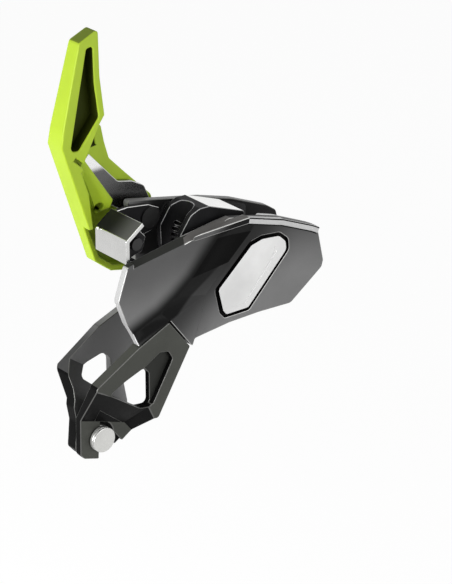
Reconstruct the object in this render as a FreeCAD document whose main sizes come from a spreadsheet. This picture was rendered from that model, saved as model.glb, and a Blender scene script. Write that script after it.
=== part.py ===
import FreeCAD, Part
import os
import re
from math import atan2, cos, degrees, pi, radians, sin, tan

from FreeCAD import Placement, Vector

# Assisted braking belay device, in millimetres.
# The origin is on the axis of the attachment pin. +X points to the brake end,
# +Y from the opening side plates to the fixed back plate, and +Z is up in use.

DIMENSIONS = {
    # depth levels along Y, from the front of the device to the back
    "front_face": -14.0,
    "front_thickness": 3.0,
    "panel_face": -10.8,
    "panel_thickness": 3.0,
    "leg_thickness": 4.5,
    "arm_back": -8.2,
    "arm_thickness": 2.4,
    "hook_face": -4.0,
    "hook_back": -0.9,
    "foot_face": -0.8,
    "foot_back": 4.4,
    "wear_face": 9.8,
    "back_inner": 10.4,
    "back_outer": 13.6,
    "dish_depth": 1.6,
    "liner_thickness": 2.4,
    "collar_front": -2.6,
    "collar_back": 0.9,
    "inside_front": -7.4,
    "seat_middle": 1.8,
    "cam_front": -5.0,
    "cam_back": 9.6,
    "yoke_front": -7.1,
    "yoke_back": 9.6,
    "grip_front": 12.0,
    "grip_back": 21.0,
    "rib_face": 13.8,
    "skirt_face": 15.7,
    "arm_face": 16.6,
    "arm_end": 18.8,
    # the pivot that carries both side plates
    "plate_pivot_x": 64.0,
    "plate_pivot_z": 45.5,
    "pivot_radius": 3.0,
    "bush_radius": 4.4,
    "axle_head_radius": 4.5,
    "axle_head_depth": 1.2,
    "ring_face": -12.78,
    "ring_thickness": 0.56,
    "seat_depth": 1.8,
    # the cam and its groove
    "cam_pivot_x": 60.0,
    "cam_pivot_z": 67.0,
    "cam_axle_radius": 3.0,
    "rope_radius": 4.75,
    # the release axle
    "release_x": 34.5,
    "release_z": 76.8,
    "release_radius": 2.6,
    # the attachment pin
    "pin_head_radius": 5.0,
    "pin_neck_radius": 3.0,
    "pin_collar_radius": 4.4,
    "pin_stem_radius": 2.2,
    # clearances
    "running_fit": 0.05,
    "slide_fit": 0.1,
    # fasteners
    "rivet_radius": 1.6,
    "rivet_head_radius": 2.7,
    "rivet_head_depth": 1.4,
    "rivet_reach": 7.0,
    "liner_rivet_radius": 1.3,
    "liner_rivet_head": 2.3,
    "liner_rivet_depth": 1.6,
    "grip_rivet_radius": 1.5,
}

document = FreeCAD.newDocument("BelayDevice")
sheet = document.addObject("Spreadsheet::Sheet", "Dims")
for row, (alias, value) in enumerate(DIMENSIONS.items(), start=1):
    sheet.set("A%d" % row, alias)
    sheet.set("B%d" % row, str(value))
    sheet.setAlias("B%d" % row, alias)
document.recompute()


def dim(alias):
    """Read one driving dimension from the sheet."""
    return float(getattr(sheet, alias))


def bound(expression):
    """Point the names in an expression at the sheet's cells."""
    return re.sub("[a-z_]+", lambda word: "Dims." + word.group(0), expression)


PLATE_PIVOT = (dim("plate_pivot_x"), dim("plate_pivot_z"))
CAM_PIVOT = (dim("cam_pivot_x"), dim("cam_pivot_z"))
RELEASE = (dim("release_x"), dim("release_z"))

nodes = []


# Outlines

def edges_of(points):
    """Closed outline in the sketch plane. A point's third number is its corner radius."""
    starts, ends, arcs = [], [], []
    count = len(points)
    for i, point in enumerate(points):
        here = Vector(point[0], point[1], 0)
        radius = point[2] if len(point) > 2 else 0.0
        before = Vector(points[i - 1][0], points[i - 1][1], 0)
        after = Vector(points[(i + 1) % count][0], points[(i + 1) % count][1], 0)
        if not radius:
            starts.append(here)
            ends.append(here)
            arcs.append(None)
            continue
        back = (before - here).normalize()
        ahead = (after - here).normalize()
        half = back.getAngle(ahead) / 2
        reach = radius / tan(half)
        bisector = (back + ahead).normalize()
        centre = here + bisector * (radius / sin(half))
        first = here + back * reach
        last = here + ahead * reach
        starts.append(first)
        ends.append(last)
        arcs.append(Part.Arc(first, centre - bisector * radius, last))
    edges = []
    for i in range(count):
        if arcs[i]:
            edges.append(arcs[i])
        following = starts[(i + 1) % count]
        if (following - ends[i]).Length > 1e-6:
            edges.append(Part.LineSegment(ends[i], following))
    return edges


def disc(centre, radius):
    """A full circle in the sketch plane."""
    return [Part.Circle(Vector(centre[0], centre[1], 0), Vector(0, 0, 1), radius)]


def polar(centre, radius, angle):
    """Point at an angle in degrees from +X towards +Z."""
    return (centre[0] + radius * cos(radians(angle)), centre[1] + radius * sin(radians(angle)))


# Bodies made of slabs that stand across the depth

def new_body(label):
    body = document.addObject("PartDesign::Body", label)
    body.Label = label
    nodes.append(body)
    return body


def plane(body, role):
    return [item for item in body.Origin.OriginFeatures if item.Role == role][0]


def sketch(body, name, geometry, back_level):
    """Sketch on the body's own XZ plane, moved back to a depth level."""
    item = body.newObject("Sketcher::SketchObject", name)
    item.AttachmentSupport = (plane(body, "XZ_Plane"), [""])
    item.MapMode = "FlatFace"
    item.setExpression("AttachmentOffset.Base.z", bound("-(%s)" % back_level))
    item.addGeometry(geometry)
    return item


def slab(body, name, geometry, front_level, back_level):
    """Add the outline as material between two depth levels."""
    pad = body.newObject("PartDesign::Pad", name)
    pad.Profile = sketch(body, name + "_outline", geometry, back_level)
    pad.setExpression("Length", bound("(%s) - (%s)" % (back_level, front_level)))
    body.Tip = pad
    return pad


def cut(body, name, geometry, front_level, back_level):
    """Cut the outline away between two depth levels."""
    document.recompute()
    before = body.Shape.Volume
    pocket = body.newObject("PartDesign::Pocket", name)
    pocket.Profile = sketch(body, name + "_outline", geometry, back_level)
    pocket.setExpression("Length", bound("(%s) - (%s)" % (back_level, front_level)))
    pocket.Reversed = True
    body.Tip = pocket
    document.recompute()
    if body.Shape.Volume > before - 1e-3:
        raise ValueError("nothing cut by " + name)
    return pocket


def round_bar(label, centre, steps):
    """A turned piece: (radius, front level, back level) for each step."""
    body = new_body(label)
    for number, (radius, front, back) in enumerate(steps, start=1):
        slab(body, "%s_step_%d" % (label, number), disc(centre, radius), front, back)
    return body


def bush(label, centre, outer, inner, front, back):
    """A plain sleeve."""
    body = new_body(label)
    slab(body, label + "_sleeve", disc(centre, outer) + disc(centre, inner), front, back)
    return body


def prism(points, front, back):
    """Solid between two depth levels, for the pieces that are shaped by booleans."""
    edges = [item.toShape() for item in edges_of(points)]
    wire = Part.Wire(Part.__sortEdges__(edges))
    face = Part.Face(wire)
    face.rotate(Vector(0, 0, 0), Vector(1, 0, 0), 90)
    face.translate(Vector(0, front, 0))
    return outward(face.extrude(Vector(0, back - front, 0)))


def across(profile, left, right):
    """Solid from a side view, given as (depth, height) points, between two X levels."""
    wire = Part.makePolygon([Vector(left, depth, height) for depth, height in profile + profile[:1]])
    return outward(Part.Face(wire).extrude(Vector(right - left, 0, 0)))


def outward(solid):
    """The same solid with its faces turned outward."""
    if solid.Volume < 0:
        solid.reverse()
    return solid


def rod(centre, radius, front, back):
    """Cylinder along the depth."""
    return Part.makeCylinder(radius, back - front, Vector(centre[0], front, centre[1]), Vector(0, 1, 0))


def in_front_of(fold, axis, slope):
    """Half space whose face passes through a fold line and leans back beside it by a slope in degrees."""
    reach = 90
    half_space = Part.makeBox(2 * reach, reach, 2 * reach, Vector(-reach, -reach, -reach))
    half_space.rotate(Vector(0, 0, 0), axis, slope)
    half_space.translate(fold)
    return half_space


def rivet_head(centre):
    """Countersunk head, flush with the outer face of the back plate."""
    depth = dim("rivet_head_depth")
    return Part.makeCone(dim("rivet_radius"), dim("rivet_head_radius"), depth,
                         Vector(centre[0], dim("back_outer") - depth, centre[1]), Vector(0, 1, 0))


def add_shape(label, shape):
    item = document.addObject("Part::Feature", label)
    item.Shape = shape
    item.Label = label
    item.Placement = Placement()
    nodes.append(item)
    return item


def coil(label, centre, mean_radius, wire_radius, front, turns, pitch, start=0.0):
    """Helical spring tube along the depth, as a pipe along half turns of a helix."""
    steps = int(round(turns * 2))
    points = []
    for k in range(2 * steps + 1):
        angle = start + pi * k / 2
        points.append(Vector(centre[0] + mean_radius * cos(angle), front + pitch * k / 4,
                             centre[1] + mean_radius * sin(angle)))
    arcs = [Part.Arc(points[2 * k], points[2 * k + 1], points[2 * k + 2]).toShape() for k in range(steps)]
    path = Part.Wire(arcs)
    tangent = arcs[0].tangentAt(arcs[0].FirstParameter)
    ring = Part.Wire([Part.Circle(points[0], tangent, wire_radius).toShape()])
    print("%s self gap %.2f mm" % (label, self_gap(path, turns) - 2 * wire_radius))
    add_shape(label, path.makePipeShell([ring], True, False))


def self_gap(path, turns):
    """Least distance between points of the path that are over half a turn apart."""
    per_turn = 48
    points = path.discretize(Number=int(turns * per_turn) + 1)
    apart = per_turn // 2
    return min((points[i] - points[k]).Length
               for i in range(len(points)) for k in range(i + apart, len(points)))


# The legs of the side plates share one outline and one bend

LEG_AXIS = (0.592, 0.806)
LEG_EYE = 8.3
SLOT_AXIS = (0.58, -0.815)
SLOT_HALF = 3.1
DISH_CLEARANCE = 0.6


def along_slot(distance, side, radius=0.0):
    """Point near the hook's mouth: distance from the pin, and side off the slot's middle."""
    return (distance * SLOT_AXIS[0] - side * SLOT_AXIS[1], distance * SLOT_AXIS[1] + side * SLOT_AXIS[0],
            radius)


WINDOW = [(-2.2, 22.2, 0.8), (5.0, 25.6, 2.0), (14.2, 28.6, 3.0), (17.7, 24.5, 2.5), (17.7, 12.0, 2.0),
          (13.0, 11.2, 2.0)]

# Front corners of the saddle on the front leg, at its top and at its foot
SADDLE_TOP = [(-8.4, 25.6), (15.7, 11.6), (18.4, 5.7)]
SADDLE_FOOT = [(-8.8, 9.8), (11.8, 2.4), (15.2, -2.0)]
SADDLE_FACET = [(-2.2, 7.4), (10.4, 2.9), (-2.6, 13.6)]

BACK_WINDOW = [(-0.8, 21.6, 1.0), (5.7, 24.3, 3.0), (13.2, 26.0, 3.0), (16.9, 22.5, 2.5), (16.9, 12.3, 2.0),
               (9.5, 12.6, 2.0)]


def side_profile(points):
    """Prism of the leg's side view: points are (height along the leg, depth)."""
    solid = across([(depth, height) for height, depth in points], -80, 80)
    lean = degrees(atan2(LEG_AXIS[0], LEG_AXIS[1]))
    solid.rotate(Vector(0, 0, 0), Vector(0, 1, 0), lean)
    return solid


def make_loop_leg():
    """Front leg with the hook: it swings on the plate pivot, behind the other side plate."""
    face = dim("front_face")
    inner = face + dim("leg_thickness")
    hook_face = dim("hook_face")
    hook_back = dim("hook_back")
    bar = [(11.5, 37.3), (-7.9, 26.9, 1.0), SADDLE_TOP[0], SADDLE_TOP[1], SADDLE_TOP[2], (20.4, 5.4, 1.5),
           (36.0, 30.6, 0.6), (26.1, 43.4)]
    hook = [SADDLE_FOOT[0], (-9.0, -4.7, 1.5), (-7.2, -6.8, 1.5), (-0.8, -8.9, 0.6), (0.4, -7.3),
            along_slot(3.5, -SLOT_HALF), along_slot(0.0, -SLOT_HALF), along_slot(0.0, SLOT_HALF),
            along_slot(9.8, SLOT_HALF, 0.4), SADDLE_FOOT[2], SADDLE_FOOT[1]]
    leg = prism(bar, face, inner).fuse(prism(hook, hook_face, hook_back))
    stations = []
    for (top_x, top_z), (foot_x, foot_z) in zip(SADDLE_TOP, SADDLE_FOOT):
        stations.append(section([(top_x, face, top_z), (foot_x, hook_face, foot_z),
                                 (foot_x, hook_back, foot_z), (top_x, inner, top_z)]))
    leg = leg.fuse(Part.makeLoft(stations, True, True))
    # flat facet cut into the foot of the saddle
    (left_x, left_z), (right_x, right_z), (top_x, top_z) = SADDLE_FACET
    floor = [(left_x, hook_face, left_z), (right_x, hook_face, right_z), (top_x, hook_face - 3.0, top_z)]
    mouth = [(x, face, z) for x, y, z in floor]
    sides = [section([floor[i - 1], floor[i], mouth[i], mouth[i - 1]]) for i in range(3)]
    faces = [Part.Face(wire) for wire in [section(floor), section(mouth)] + sides]
    leg = leg.cut(Part.makeSolid(Part.makeShell(faces)))
    leg = leg.cut(prism(WINDOW, face - 1, inner + 5))
    arm = [(23.5, 36.0), (27.0, 42.3), (38.0, 46.6), (56.0, 52.6), (64.0, 53.8), (64.0, 37.2),
           (50.0, 35.6), (38.4, 33.8), (36.0, 31.6), (31.0, 30.0)]
    arm_back = dim("arm_back")
    arm_front = arm_back - dim("arm_thickness")
    ring = prism(arm, arm_front, arm_back).fuse(rod(PLATE_PIVOT, LEG_EYE, arm_front, arm_back))
    joggle = prism([(22.5, 36.0), (26.1, 43.2), (35.7, 30.7), (29.5, 27.0)], inner - 1.0, arm_back)
    leg = leg.fuse(ring).fuse(joggle).removeSplitter()
    leg = leg.cut(rod(PLATE_PIVOT, dim("bush_radius"), face, 0))
    # sunk pocket beside the window
    sunk = [(10.6, 26.6, 1.0), (21.6, 32.4, 1.5), (25.6, 31.6, 1.5), (27.6, 28.0, 1.5), (17.4, 11.2, 1.0)]
    leg = leg.cut(prism(sunk, face - 1, face + 2.0))
    # dished seat and eye for the pin
    sunk_by = dim("dish_depth")
    dish_radius = dim("pin_head_radius") + DISH_CLEARANCE
    leg = leg.cut(rod((0, 0), dim("pin_collar_radius") + dim("slide_fit"), face, 0))
    dish_front = Vector(0, hook_face, 0)
    leg = leg.cut(Part.makeCone(dish_radius + 1, dish_radius, sunk_by, dish_front, Vector(0, 1, 0)))
    dish = [along_slot(0, -5.3), along_slot(0, 5.3), along_slot(14, 6.0), along_slot(14, -5.3)]
    add_shape("loop_side_leg", leg.cut(prism(dish, hook_face - 2, hook_face + sunk_by)))


def make_back_plate():
    """Fixed side: plate, back leg and foot, forged and machined in one piece."""
    inner = dim("back_inner")
    outer = dim("back_outer")
    foot_face = dim("foot_face")
    foot_back = dim("foot_back")
    plate = [(26.5, 84.6, 1.0), (41.7, 81.3, 6.0), (62.0, 76.6, 20.0), (77.5, 71.8, 20.0),
             (95.0, 64.2, 10.0), (99.6, 61.0, 2.5), (103.2, 46.5, 2.5), (86.1, 33.3, 4.0),
             (70.0, 34.3, 10.0), (38.0, 32.6, 2.0), (31.5, 22.5, 3.0), (18.0, 18.0), (11.6, 37.4),
             (22.5, 41.4), (28.0, 46.0, 4.0), (29.5, 60.0, 6.0), (29.5, 70.0, 5.0), (27.0, 77.0, 2.0)]
    upper = prism(plate, inner, outer)
    outline = [(22.5, 41.4), (11.6, 37.4, 8.0), (-7.6, 25.2, 1.5), (-9.2, 14.0, 4.0), (-8.0, 7.5, 4.0),
               (-9.0, -3.6, 2.0), (-5.6, -7.6, 3.0), (3.0, -8.4, 3.0), (11.0, -5.6, 3.0), (16.0, 1.5, 3.0),
               (20.4, 5.4, 1.5), (38.0, 33.6), (30.0, 44.0)]
    sweep = [(-14, foot_face), (9.0, foot_face), (12.5, 0.8), (21.5, inner), (60, inner), (60, outer),
             (17.5, outer), (8.0, foot_back), (-14, foot_back)]
    leg = prism(outline, foot_face, outer).common(side_profile(sweep))
    solid = upper.fuse(leg).removeSplitter()
    solid = solid.cut(prism(BACK_WINDOW, inner - 8, outer + 1))
    solid = solid.cut(rod((0, 0), dim("pin_collar_radius") + dim("slide_fit"), -5, 10))
    solid = solid.cut(rod(PLATE_PIVOT, dim("pivot_radius"), 0, 20))
    solid = solid.cut(rod(CAM_PIVOT, dim("cam_axle_radius"), 0, 20))
    head_room = dim("axle_head_radius") + dim("slide_fit")
    for centre in (PLATE_PIVOT, CAM_PIVOT):
        solid = solid.cut(rod(centre, head_room, outer - dim("axle_head_depth"), 20))
    solid = solid.cut(rod(RELEASE, RELEASE_BUSH, 0, 20))
    for centre in NOSE_RIVETS + ANVIL_RIVETS:
        solid = solid.cut(rod(centre, dim("rivet_radius"), 0, 20)).cut(rivet_head(centre))
    return add_shape("back_plate", solid)


RELEASE_BUSH = 3.6
YOKE_POST = (17.4, 75.2)
NOSE_RIVETS = [(90.0, 47.0), (95.0, 53.0)]
ANVIL_RIVETS = [(35.5, 47.0), (43.5, 44.0)]

# Front of the rope side plate: top edge, band between its two levels, insert

BAND_LEFT = [(58.5, 75.9), (52.2, 69.3), (39.7, 56.5), (32.0, 51.0), (24.3, 46.7), (11.3, 42.0)]
BAND_RIGHT = [(72.0, 73.6), (66.0, 69.6), (54.7, 59.9), (43.8, 49.8), (26.5, 44.1), (11.6, 38.1)]
TOP_RIGHT = [(64.0, 76.2), (80.8, 70.9), (95.5, 64.4), (99.2, 62.4)]
INSERT_SEAT = [(65.3, 65.1, 2.5), (71.2, 66.1, 3.0), (80.3, 65.0, 4.0), (84.7, 61.2, 3.0),
               (85.1, 56.5, 3.0), (65.1, 36.9, 2.5), (52.9, 37.2, 2.0), (50.6, 40.0, 2.0),
               (48.1, 50.2, 2.5)]
INSERT_FACE = [(66.1, 63.6, 2.0), (71.5, 64.7, 2.5), (79.8, 63.7, 3.0), (83.1, 60.6, 2.5),
               (83.5, 57.0, 2.5), (64.4, 38.3, 2.0), (53.6, 38.6, 1.5), (52.1, 40.6, 1.5),
               (49.8, 49.9, 2.0)]
FACET = [(52.6, 49.6, 1.0), (67.6, 60.9, 1.5), (77.8, 59.8, 1.5), (78.6, 57.6, 1.0),
         (62.9, 40.6, 1.0), (55.0, 40.8, 1.0), (53.6, 42.2, 1.0)]
FACET_FOLD = Vector(-0.64, 0, 0.77)
FACET_START = (53.0, 42.0)
FACET_SLOPE = 1.4
LINER_RIVETS = [(94.5, 58.5), (84.5, 64.0), (97.0, 50.5)]


def section(points):
    """Closed planar wire through points in space."""
    return Part.makePolygon([Vector(*p) for p in points + points[:1]])


def make_rope_side_plate():
    face = dim("front_face")
    inner = face + dim("front_thickness")
    panel_face = dim("panel_face")
    panel_back = panel_face + dim("panel_thickness")
    front = [BAND_RIGHT[0], (80.8, 70.9), (95.5, 64.4), (99.4, 62.3, 0.6), (101.3, 54.6, 6.0),
             (103.0, 46.9, 2.0), (102.2, 44.2, 2.0), (86.3, 33.4, 3.0), (70.0, 34.4, 20.0),
             (55.5, 34.5, 20.0), (38.4, 33.1, 1.0), (37.3, 30.4, 0.4), (36.4, 31.0)]
    front += BAND_RIGHT[:0:-1][1:]
    right = prism(front, face, inner)
    panel = [BAND_LEFT[0], (47.7, 75.2, 20.0), (32.6, 73.4, 20.0), (19.0, 71.9, 10.0), (9.4, 69.4, 1.5),
             (4.9, 56.8, 2.0), (8.6, 46.6, 8.0)] + BAND_LEFT[:0:-1]
    left = prism(panel, panel_face, panel_back)
    stations = []
    for (left_x, left_z), (right_x, right_z) in zip(BAND_LEFT, BAND_RIGHT):
        stations.append(section([(left_x, panel_face, left_z), (right_x, face, right_z),
                                 (right_x, inner, right_z), (left_x, panel_back, left_z)]))
    band = Part.makeLoft(stations, True, True)
    plate = left.fuse(right).fuse(band)
    # flange along the top edge, proud of the face
    rim = [(x, z) for x, z in TOP_RIGHT] + [(x - 0.5, z - 2.5) for x, z in reversed(TOP_RIGHT)]
    plate = plate.fuse(prism(rim, face - 1.6, face + 0.5))
    tail = [section([(64.0, face - 1.6, 76.2), (64.0, inner - 0.5, 76.2), (63.5, inner - 0.5, 73.7),
                     (63.5, face - 1.6, 73.7)]),
            section([(28.0, panel_face + 0.5, 72.8), (28.0, panel_back - 0.5, 72.8),
                     (28.0, panel_back - 0.5, 71.0), (28.0, panel_face + 0.5, 71.0)])]
    plate = plate.fuse(Part.makeLoft(tail, True, True)).removeSplitter()
    # bevelled inlet along the left part of the top edge
    bevel = [section([(x, panel_face - 1.2, low), (x, panel_back + 0.05, high),
                      (x, panel_back + 0.05, 86.0), (x, panel_face - 1.2, 86.0)])
             for x, low, high in ((12.4, 67.6, 70.0), (36.3, 70.4, 73.6), (58.0, 75.7, 76.3))]
    plate = plate.cut(Part.makeLoft(bevel, True, True))
    # seat of the insert and the pivot hole
    plate = plate.cut(prism(INSERT_SEAT, face - 1, face + dim("seat_depth")))
    plate = plate.cut(rod(PLATE_PIVOT, dim("bush_radius"), face - 1, inner + 1))
    for centre in LINER_RIVETS:
        plate = plate.cut(rod(centre, dim("liner_rivet_radius"), inner - dim("liner_rivet_depth"), inner + 1))
    return add_shape("rope_side_plate", plate)


def make_rope_gate_parts():
    face = dim("front_face")
    inner = face + dim("front_thickness")
    # silver insert that covers the pivot
    body = new_body("pivot_cover")
    slab(body, "seat", edges_of(INSERT_SEAT), "front_face + 1", "front_face + seat_depth")
    slab(body, "face", edges_of(INSERT_FACE), "front_face - 0.3", "front_face + 1.05")
    cut(body, "pivot_room", disc(PLATE_PIVOT, 5.4), "front_face + 0.7", "front_face + 2")
    document.recompute()
    # the facet slopes in from the lower left to the upper right
    fold = Vector(FACET_START[0], face - 0.3, FACET_START[1])
    slope = in_front_of(fold, FACET_FOLD, FACET_SLOPE)
    cover = body.Shape.cut(prism(FACET, face - 1, face + 0.5).common(slope))
    nodes.remove(body)
    body.Label = "pivot_cover_blank"
    add_shape("pivot_cover", cover)
    # wear liner inside the brake end
    liner = [(73.4, 73.0, 0.6), (80.8, 70.6, 20.0), (95.3, 64.1, 10.0), (99.0, 61.9, 1.0),
             (100.6, 54.5, 3.0), (101.8, 47.2, 2.0), (97.0, 44.5, 2.0), (88.5, 50.0, 4.0),
             (79.0, 63.0, 4.0), (68.8, 69.0, 1.5)]
    body = new_body("brake_side_liner")
    slab(body, "sheet", edges_of(liner), "front_face + front_thickness",
         "front_face + front_thickness + liner_thickness")
    radius = dim("liner_rivet_radius")
    under_head = inner + dim("liner_thickness")
    rivets = []
    for number, centre in enumerate(LINER_RIVETS, start=1):
        cut(body, "rivet_hole_%d" % number, disc(centre, radius), "front_face + 2", "front_face + 8")
        shank = rod(centre, radius, inner - dim("liner_rivet_depth"), under_head)
        head = rod(centre, dim("liner_rivet_head"), under_head, under_head + 0.5)
        rivets.append(shank.fuse(head).removeSplitter())
    add_shape("liner_rivets", Part.makeCompound(rivets))
    bush("rope_plate_bush", PLATE_PIVOT, dim("bush_radius"), dim("pivot_radius") + dim("running_fit"),
         "front_face + seat_depth", "front_face + front_thickness - 0.02")


RING_BORE = 2.5


def ring_gap(centre, half_width):
    """Outline of the opening of a retaining ring, on its right side."""
    x, z = centre
    left, right = x + 1, x + 6
    low, high = z - half_width, z + half_width
    return [(left, low), (right, low), (right, high), (left, high)]


def make_plate_pivot():
    """Axle, sleeve, washer and ring that hold both side plates to the back plate."""
    axle = new_body("plate_pivot_axle")
    radius = dim("pivot_radius")
    slab(axle, "shank", disc(PLATE_PIVOT, radius), "ring_face - 0.27", "back_outer")
    slab(axle, "head", disc(PLATE_PIVOT, dim("axle_head_radius")), "back_outer - axle_head_depth",
         "back_outer")
    groove = disc(PLATE_PIVOT, radius + 1) + disc(PLATE_PIVOT, RING_BORE)
    cut(axle, "ring_groove", groove, "ring_face - 0.02", "ring_face + ring_thickness + 0.12")
    bush("plate_pivot_sleeve", PLATE_PIVOT, 4.3, radius, "arm_back + running_fit", "back_inner")
    bush("leg_pivot_bush", PLATE_PIVOT, dim("bush_radius"), radius + dim("running_fit"),
         "arm_back - arm_thickness", "arm_back")
    bush("pivot_washer", PLATE_PIVOT, 4.9, radius, "front_face + front_thickness + running_fit",
         "arm_back - arm_thickness - running_fit")
    ring = new_body("pivot_retaining_ring")
    slab(ring, "ring", disc(PLATE_PIVOT, 4.7) + disc(PLATE_PIVOT, RING_BORE), "ring_face",
         "ring_face + ring_thickness")
    cut(ring, "gap", edges_of(ring_gap(PLATE_PIVOT, 1.0)), "ring_face - 1", "ring_face + 1")


CLIP_BORE = 1.7


def make_lock():
    """Sprung locking pin, its clip, and the cap behind its spring."""
    pin = round_bar("locking_pin", (0, 0), [
        (dim("pin_head_radius"), "hook_face - 3", "hook_face - 0.5"),
        (dim("pin_neck_radius"), "hook_face - 0.5", "collar_front"),
        (dim("pin_collar_radius"), "collar_front", "collar_back"),
        (dim("pin_stem_radius"), "collar_back", "foot_back + 3.4")])
    line = disc((0, 0), dim("pin_head_radius") + 1) + disc((0, 0), dim("pin_head_radius") - 0.25)
    cut(pin, "head_groove", line, "hook_face - 2.4", "hook_face - 2.0")
    groove = disc((0, 0), 3.0) + disc((0, 0), CLIP_BORE)
    cut(pin, "clip_groove", groove, "foot_back + 2.05", "foot_back + 2.75")
    clip = new_body("pin_clip")
    slab(clip, "ring", disc((0, 0), 3.4) + disc((0, 0), CLIP_BORE), "foot_back + 2.1", "foot_back + 2.7")
    cut(clip, "gap", edges_of(ring_gap((0, 0), 0.9)), "foot_back + 1", "foot_back + 4")
    cap = new_body("pin_cap")
    slab(cap, "flange", disc((0, 0), 6.2), "foot_back", "foot_back + 2")
    bore = dim("pin_stem_radius") + dim("slide_fit")
    cut(cap, "stem_bore", disc((0, 0), bore), "foot_back - 1", "foot_back + 3")
    coil("locking_pin_spring", (0, 0), 3.3, 0.25, 1.16, 3.0, 0.98)


NOSE_SEAT = (93.2, 46.5)
NOSE_SEAT_RADIUS = 14.6


def make_brake_nose():
    front = dim("inside_front")
    profile = [(84.5, 46.0, 2.0), (84.5, 53.5, 3.0), (89.0, 57.6, 3.0), (95.5, 57.9, 4.0),
               (100.4, 54.0, 4.0), (100.8, 47.6, 3.0), (96.0, 43.0, 3.0), (88.5, 41.5, 2.0)]
    nose = prism(profile, front, dim("back_inner"))
    # rounded seat over its top
    centre = Vector(NOSE_SEAT[0], dim("seat_middle"), NOSE_SEAT[1])
    nose = nose.cut(Part.makeTorus(NOSE_SEAT_RADIUS, dim("rope_radius") + 0.6, centre, Vector(0, 1, 0)))
    for centre in NOSE_RIVETS:
        nose = nose.cut(rod(centre, dim("rivet_radius"), dim("back_inner") - dim("rivet_reach"), 20))
    add_shape("brake_nose", nose)


ANVIL_CENTRE = (53.5, 67.0)
ANVIL_RADIUS = 20.9


def make_anvil():
    """Fixed steel shoe under the cam."""
    front = dim("inside_front")
    inner = [polar(ANVIL_CENTRE, ANVIL_RADIUS, angle) for angle in range(198, 255, 14)]
    outline = inner + [(50.5, 43.6, 1.5), (47.0, 40.6, 2.0), (37.0, 42.0, 3.0), (30.8, 50.0, 3.0),
                       (31.0, 59.5, 1.0)]
    shoe = prism(outline, front, dim("back_inner"))
    for centre in ANVIL_RIVETS:
        shoe = shoe.cut(rod(centre, dim("rivet_radius"), dim("back_inner") - dim("rivet_reach"), 20))
    add_shape("pinch_anvil", shoe)


def make_rivets(label, centres):
    """Countersunk rivets from the back plate into a fixed block."""
    front = dim("back_inner") - dim("rivet_reach")
    shanks = [rod(centre, dim("rivet_radius"), front, dim("back_outer")) for centre in centres]
    solids = [shank.fuse(rivet_head(centre)).removeSplitter() for shank, centre in zip(shanks, centres)]
    add_shape(label, Part.makeCompound(solids))


GROOVE_CENTRE = (54.5, 67.0)
GROOVE_RADIUS = 15.4
TEETH_RADIUS = 10.9
CAM_BUSH = 4.2
CAM_SPRING = 5.4


def make_cam():
    front = dim("cam_front")
    back = dim("cam_back")
    outline = [(53.0, 80.3, 0.8), (70.3, 73.7, 1.2), (69.8, 66.0, 6.0), (64.5, 57.8, 6.0), (55.0, 53.6, 8.0),
               (45.5, 56.0, 6.0), (39.6, 63.0, 5.0), (39.2, 72.4, 2.0), (44.0, 78.9, 4.0), (48.4, 80.5, 3.0)]
    cam = prism(outline, front, back)
    middle = (front + back) / 2
    groove = dim("rope_radius") + 0.2
    seat = Part.makeTorus(GROOVE_RADIUS, groove, Vector(GROOVE_CENTRE[0], middle, GROOVE_CENTRE[1]),
                          Vector(0, 1, 0))
    lower = prism([(30, 40), (90, 40), (90, 66), GROOVE_CENTRE, polar(GROOVE_CENTRE, 40, 150), (20, 60)],
                  front - 1, back + 1)
    leaves = polar(GROOVE_CENTRE, GROOVE_RADIUS, 150)
    straight = Part.makeCylinder(groove, 20, Vector(leaves[0], middle, leaves[1]),
                                 Vector(cos(radians(60)), 0, sin(radians(60))))
    cam = cam.cut(seat.common(lower)).cut(straight)
    # teeth across the flank
    for angle in range(150, 245, 12):
        tooth = rod(polar(GROOVE_CENTRE, TEETH_RADIUS, angle), 0.7, front - 1, back + 1)
        cam = cam.cut(tooth)
    # bore of the bush, room for the spring, and the hole for the spring's end
    cam = cam.cut(rod(CAM_PIVOT, CAM_BUSH, front - 1, back + 1))
    cam = cam.cut(rod(CAM_PIVOT, 6.6, back - 4.2, back + 1))
    cam = cam.cut(rod(polar(CAM_PIVOT, CAM_SPRING, 90), 0.7, back - 7.0, back))
    add_shape("friction_cam", cam)
    radius = dim("cam_axle_radius")
    bush("cam_bush", CAM_PIVOT, CAM_BUSH, radius + dim("running_fit"), "cam_front", "cam_back")
    axle = new_body("cam_axle")
    slab(axle, "shank", disc(CAM_PIVOT, radius), "cam_front - 1.4", "back_outer")
    slab(axle, "rear_head", disc(CAM_PIVOT, dim("axle_head_radius")), "back_outer - axle_head_depth",
         "back_outer")
    slab(axle, "front_head", disc(CAM_PIVOT, 5.2), "cam_front - 1.4", "cam_front - slide_fit")
    coil("cam_return_spring", CAM_PIVOT, CAM_SPRING, 0.45, back - 3.5, 2.0, 1.35, pi / 2)


def make_wear_plate():
    """Thin steel sheet on the inner face of the back plate."""
    outline = [(30.5, 62.0, 1.0), (33.0, 68.0, 2.0), (44.0, 79.8, 2.0), (60.0, 76.4, 10.0),
               (75.0, 71.6, 10.0), (83.5, 68.0, 2.0), (83.8, 42.0, 2.0), (73.0, 37.0, 2.0),
               (56.0, 37.5, 2.0), (51.5, 42.0, 1.0), (53.0, 46.0), (46.5, 48.4), (38.0, 54.5),
               (36.0, 58.0), (34.2, 61.4)]
    body = new_body("back_wear_plate")
    slab(body, "sheet", edges_of(outline), "wear_face", "back_inner")
    cut(body, "pivot_hole", disc(PLATE_PIVOT, 4.3), "wear_face - 1", "back_inner + 1")
    cut(body, "cam_hole", disc(CAM_PIVOT, dim("cam_axle_radius")), "wear_face - 1", "back_inner + 1")


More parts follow.
